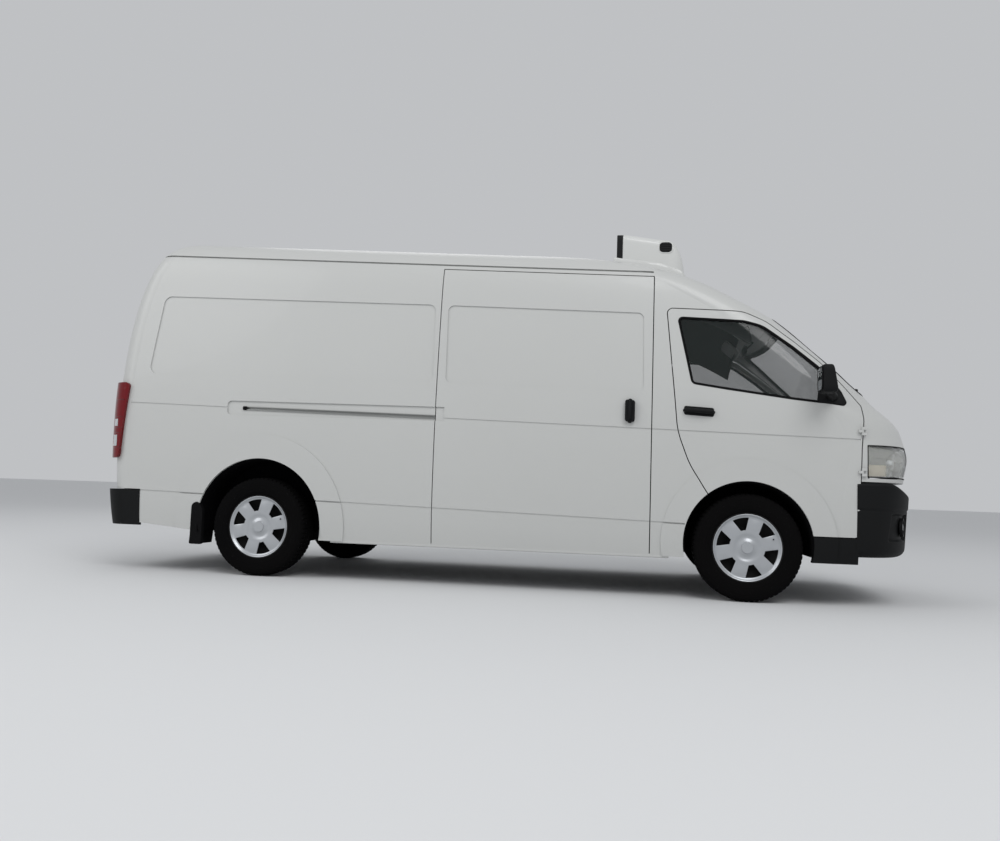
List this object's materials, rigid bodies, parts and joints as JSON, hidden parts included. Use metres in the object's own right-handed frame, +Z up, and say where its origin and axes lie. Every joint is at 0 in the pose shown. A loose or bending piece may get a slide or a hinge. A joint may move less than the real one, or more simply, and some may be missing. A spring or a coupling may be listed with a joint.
{
  "type": "refrigerated panel van",
  "caption": "High-roof refrigerated panel van with a sliding side door, hinged front doors, tailgate, bonnet, steered front wheels and a fan-cooled condenser on the roof.",
  "frame": {"origin": "on the ground under the middle of the van's overall length and width", "axes": "+X forwards along the van, +Y to the van's left, +Z up"},
  "size_m": [5.3715, 2.32, 2.385],
  "materials": {
    "body_paint": "gloss white",
    "black_trim": "grained black",
    "grey_plastic": "grained grey",
    "window_glass": "clear",
    "lamp_clear": "clear lens over bright bowls",
    "lamp_red": "red lens",
    "seal_rubber": "matte",
    "rail_metal": "brushed",
    "insulated_lining": "white lining",
    "floor_lining": "dull",
    "seat_cloth": "woven",
    "chassis_paint": "satin black",
    "bare_iron": "rough",
    "exhaust_steel": "dull",
    "tyre_rubber": "black",
    "wheel_silver": "silver",
    "unit_white": "white moulding"
  },
  "bodies": {
    "root": {"side_left": "body_paint", "side_right": "body_paint", "slide_rail": "rail_metal", "sliding_door": "body_paint", "sliding_door_trim": "black_trim", "roof": "body_paint", "front_panel": "body_paint", "headlamps": "lamp_clear", "tail_lamps": "lamp_red", "grille": "black_trim", "windscreen": "window_glass", "front_bumper": "black_trim", "rear_bumper": "black_trim", "front_steps": "black_trim", "load_floor": "floor_lining", "bulkhead": "insulated_lining", "cab_floor": "grey_plastic", "dashboard": "grey_plastic", "driver_seat": "seat_cloth", "passenger_bench": "seat_cloth", "unit_base": "unit_white", "unit_housing": "unit_white", "rear_axle": "chassis_paint", "suspension": "chassis_paint", "chassis": "chassis_paint", "engine": "bare_iron", "fuel_tank": "chassis_paint", "exhaust": "exhaust_steel"},
    "door_right": {"door_right": "body_paint", "door_right_glass": "window_glass", "door_right_trim": "black_trim"},
    "door_left": {"door_left": "body_paint", "door_left_glass": "window_glass", "door_left_trim": "black_trim"},
    "tailgate": {"tailgate": "body_paint", "tailgate_glass": "window_glass"},
    "bonnet": {"bonnet": "body_paint"},
    "steering_wheel": {"steering_wheel": "black_trim"},
    "knuckle_right": {"knuckle_right": "bare_iron"},
    "knuckle_left": {"knuckle_left": "bare_iron"},
    "wheel_front_right": {"tyre_front_right": "tyre_rubber", "rim_front_right": "wheel_silver"},
    "wheel_front_left": {"tyre_front_left": "tyre_rubber", "rim_front_left": "wheel_silver"},
    "wheel_rear_right": {"tyre_rear_right": "tyre_rubber", "rim_rear_right": "wheel_silver"},
    "wheel_rear_left": {"tyre_rear_left": "tyre_rubber", "rim_rear_left": "wheel_silver"},
    "unit_fan_right": {"unit_fan_right": "black_trim"},
    "unit_fan_left": {"unit_fan_left": "black_trim"}
  },
  "joints": [
    {"name": "door_right_hinge", "type": "hinge", "parent": "root", "child": "door_right", "pos_m": [2.272, -0.949, 0.91], "axis": [0, 0, 1], "range_deg": [0, 65]},
    {"name": "door_left_hinge", "type": "hinge", "parent": "root", "child": "door_left", "pos_m": [2.272, 0.949, 0.91], "axis": [0, 0, -1], "range_deg": [0, 65]},
    {"name": "tailgate_hinge", "type": "hinge", "parent": "root", "child": "tailgate", "pos_m": [-2.46176, 0, 2.207], "axis": [0, 1, 0], "range_deg": [0, 95]},
    {"name": "bonnet_hinge", "type": "hinge", "parent": "root", "child": "bonnet", "pos_m": [2.44456, 0, 1.23425], "axis": [0, -1, 0], "range_deg": [0, 60]},
    {"name": "steer_left", "type": "hinge", "parent": "root", "child": "knuckle_left", "pos_m": [1.63, 0.752, 0.322], "axis": [0, 0, 1], "range_deg": [-35, 35]},
    {"name": "steer_right", "type": "hinge", "parent": "root", "child": "knuckle_right", "pos_m": [1.63, -0.752, 0.322], "axis": [0, 0, 1], "range_deg": [-35, 35]},
    {"name": "steering_turn", "type": "hinge", "parent": "root", "child": "steering_wheel", "pos_m": [1.925, 0.42, 1.18], "axis": [-0.766, 0, 0.6428], "range_deg": [-560, 560]},
    {"name": "wheel_front_right_spin", "type": "hinge", "parent": "knuckle_right", "child": "wheel_front_right", "pos_m": [1.63, -0.825, 0.322], "axis": [0, 1, 0], "continuous": true},
    {"name": "wheel_front_left_spin", "type": "hinge", "parent": "knuckle_left", "child": "wheel_front_left", "pos_m": [1.63, 0.825, 0.322], "axis": [0, 1, 0], "continuous": true},
    {"name": "wheel_rear_right_spin", "type": "hinge", "parent": "root", "child": "wheel_rear_right", "pos_m": [-1.48, -0.825, 0.322], "axis": [0, 1, 0], "continuous": true},
    {"name": "wheel_rear_left_spin", "type": "hinge", "parent": "root", "child": "wheel_rear_left", "pos_m": [-1.48, 0.825, 0.322], "axis": [0, 1, 0], "continuous": true},
    {"name": "unit_fan_right_spin", "type": "hinge", "parent": "root", "child": "unit_fan_right", "pos_m": [0.84, -0.245, 2.3085], "axis": [1, 0, 0], "continuous": true},
    {"name": "unit_fan_left_spin", "type": "hinge", "parent": "root", "child": "unit_fan_left", "pos_m": [0.84, 0.245, 2.3085], "axis": [1, 0, 0], "continuous": true}
  ],
  "couplings": [
    {"joint": "steer_right", "follows": "steer_left", "ratio": 1},
    {"joint": "steering_turn", "follows": "steer_left", "ratio": 16}
  ]
}
